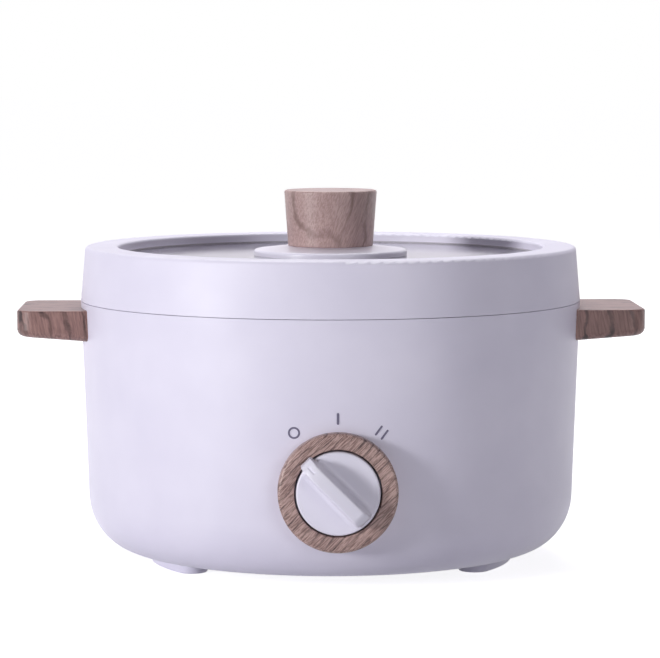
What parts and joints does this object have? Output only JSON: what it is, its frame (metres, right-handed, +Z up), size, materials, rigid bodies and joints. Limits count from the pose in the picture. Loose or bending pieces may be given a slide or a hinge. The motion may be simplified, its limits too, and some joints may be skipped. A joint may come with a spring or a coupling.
{
  "type": "electric hot pot with lid",
  "caption": "Round electric hot pot: white plastic body on feet, fixed cooking pan, wooden side handles, rotary power dial, and a lift-off lid with a flat glass pane and a wooden knob.",
  "frame": {"origin": "on the pot's vertical axis, in the plane that its three feet stand on", "axes": "+Z up; +X to the right for someone facing the dial, along the two handles; the dial faces -Y and the power inlet +Y"},
  "size_m": [0.3274, 0.2835, 0.1949],
  "materials": {
    "white_plastic": "satin moulded",
    "dial_plastic": "satin moulded",
    "boss_plastic": "gloss moulded",
    "knob_wood": "oiled, vertical grain",
    "handle_wood": "oiled",
    "bezel_wood": "oiled",
    "mark_ink": "printed ink",
    "lid_glass": "polished, clear",
    "silicone": "moulded silicone",
    "seal_rubber": "moulded silicone",
    "pan_coating": "die-cast, non-stick coating",
    "heater_aluminium": "pressed",
    "element_steel": "heat-tinted tube",
    "screw_steel": "zinc plated",
    "contact_brass": "plain",
    "black_plastic": "moulded",
    "wire_brown": "silicone insulation",
    "wire_blue": "silicone insulation",
    "wire_red": "silicone insulation",
    "wire_green": "silicone insulation"
  },
  "bodies": {
    "base": {"body_shell": "white_plastic", "cooking_pan": "pan_coating", "pan_gasket": "silicone", "pan_screws": "screw_steel", "heater_plate": "heater_aluminium", "heating_element_low": "element_steel", "heating_element_high": "element_steel", "element_pins": "screw_steel", "element_link": "screw_steel", "heat_shield": "heater_aluminium", "thermostat": "black_plastic", "thermostat_bracket": "screw_steel", "thermostat_screws": "screw_steel", "switch_housing": "black_plastic", "switch_tabs": "contact_brass", "switch_washer": "screw_steel", "switch_nut": "screw_steel", "dial_bezel": "bezel_wood", "bezel_screws": "screw_steel", "dial_marks": "mark_ink", "handle_left": "handle_wood", "handle_right": "handle_wood", "handle_screws": "screw_steel", "inlet_housing": "black_plastic", "inlet_pins": "contact_brass", "inlet_screws": "screw_steel", "foot_rear": "white_plastic", "foot_front_left": "white_plastic", "foot_front_right": "white_plastic", "foot_screws": "screw_steel", "base_cover": "white_plastic", "cover_screws": "screw_steel", "wire_live": "wire_brown", "wire_neutral": "wire_blue", "wire_low": "wire_red", "wire_high": "wire_red", "wire_common": "wire_blue", "wire_earth": "wire_green"},
    "lid": {"lid_ring": "white_plastic", "lid_glass": "lid_glass", "glass_seal": "seal_rubber", "vent_grommet": "silicone", "lid_base_ring": "white_plastic", "lid_gasket": "silicone", "lid_screws": "screw_steel", "lid_boss": "boss_plastic", "lid_knob": "knob_wood", "knob_insert": "contact_brass", "knob_screw": "screw_steel", "knob_washer": "screw_steel"},
    "dial": {"dial_knob": "dial_plastic", "switch_shaft": "contact_brass"}
  },
  "joints": [
    {"name": "lid_lift", "type": "slide", "parent": "base", "child": "lid", "axis": [0, 0, 1], "range_m": [0, 0.12]},
    {"name": "dial_turn", "type": "hinge", "parent": "base", "child": "dial", "pos_m": [0, -0.12886, 0.0529], "axis": [0, 1, 0], "range_deg": [0, 90]}
  ]
}
